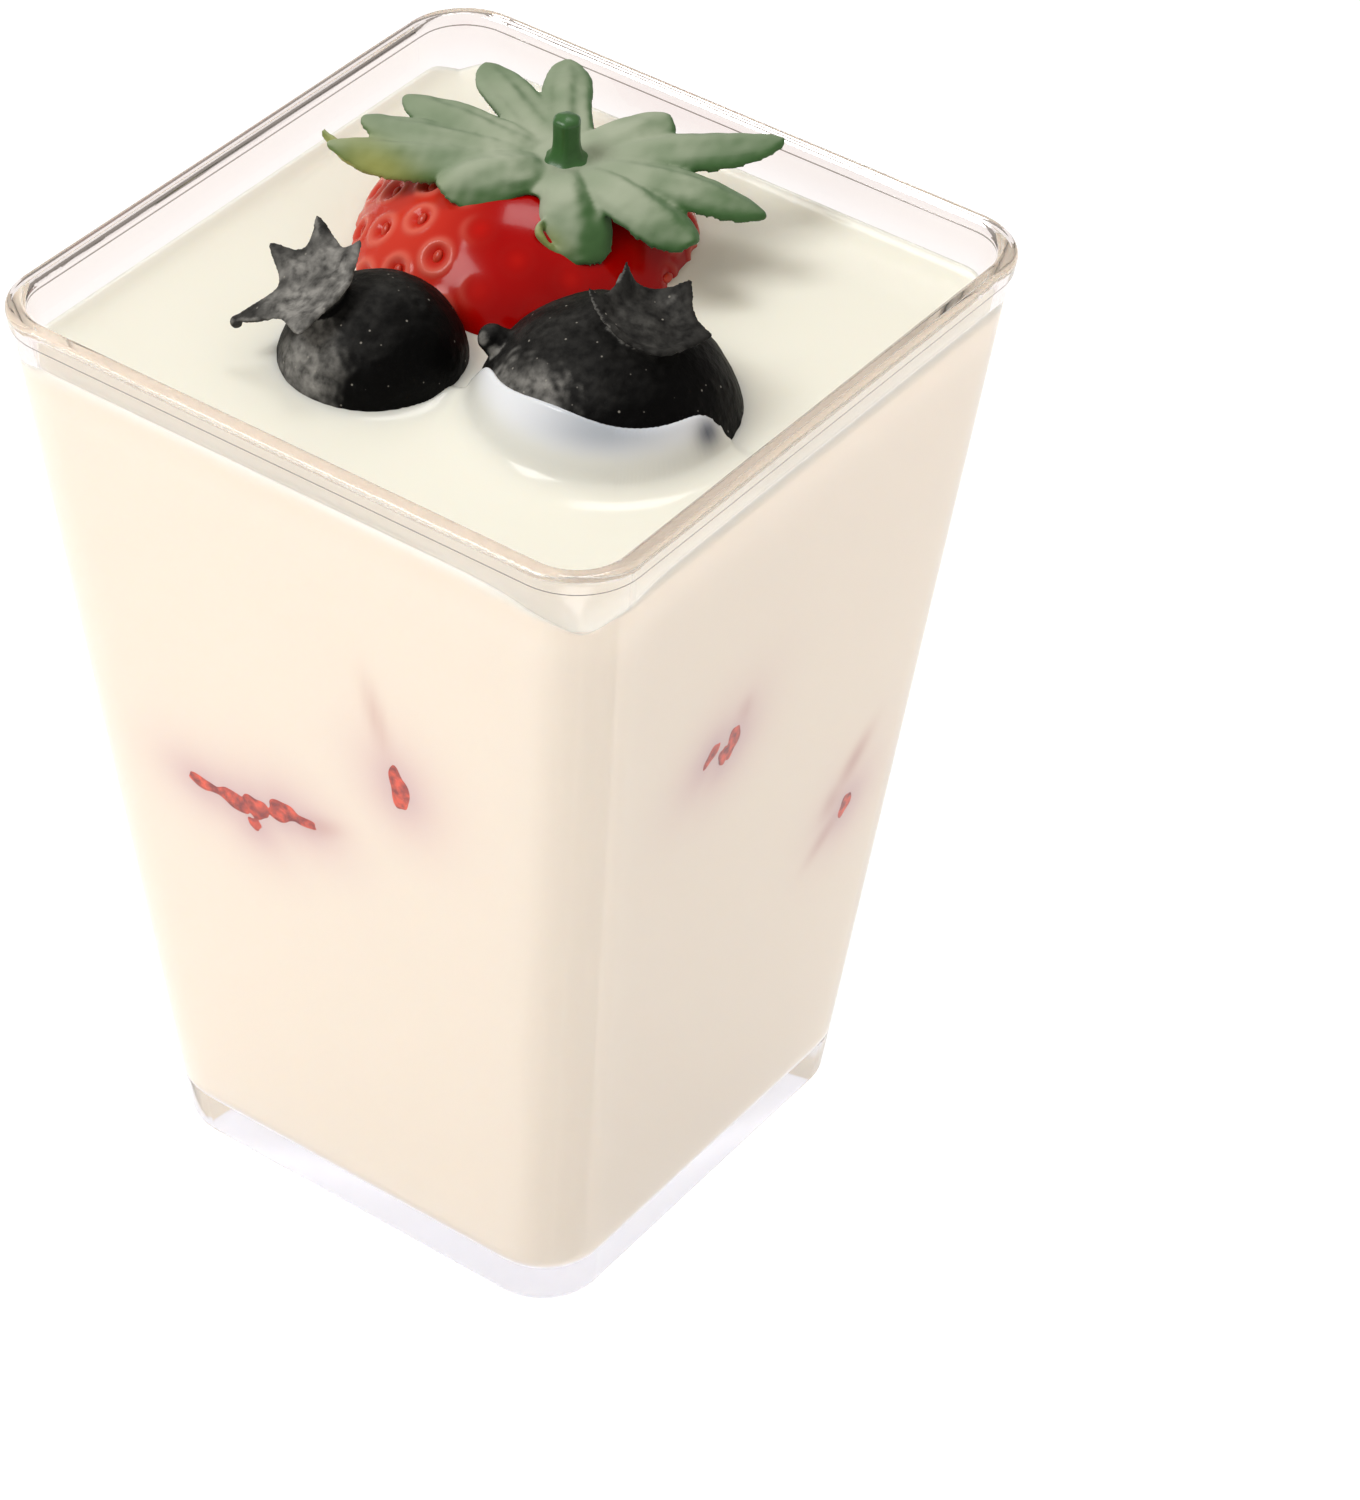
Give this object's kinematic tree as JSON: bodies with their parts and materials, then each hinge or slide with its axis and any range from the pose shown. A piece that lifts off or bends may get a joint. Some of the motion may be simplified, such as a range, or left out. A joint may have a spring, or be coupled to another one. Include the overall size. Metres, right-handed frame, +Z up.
{
  "type": "plastic dessert cup",
  "caption": "Clear square tapered dessert cup with a rounded rim lip and thick clear base, filled with cream and topped with a strawberry and dark berries.",
  "frame": {"origin": "middle of the cup's underside, on the surface it stands on", "axes": "+Z up, +X and +Y square to two faces of the cup"},
  "size_m": [0.0558, 0.0558, 0.0865],
  "materials": {
    "clear_plastic": "clear moulded polystyrene, polished, smooth",
    "cream": "smooth yoghurt cream, soft wet gloss",
    "strawberry_flesh": "glossy strawberry skin with small dimples",
    "leaf_green": "soft satin leaf surface",
    "dark_berry_skin": "dull black skin with a grey bloom"
  },
  "bodies": {
    "root": {"cup": "clear_plastic", "cream": "cream", "strawberry": "strawberry_flesh", "leaf_cap": "leaf_green", "left_berry": "dark_berry_skin", "right_berry": "dark_berry_skin"}
  },
  "joints": []
}
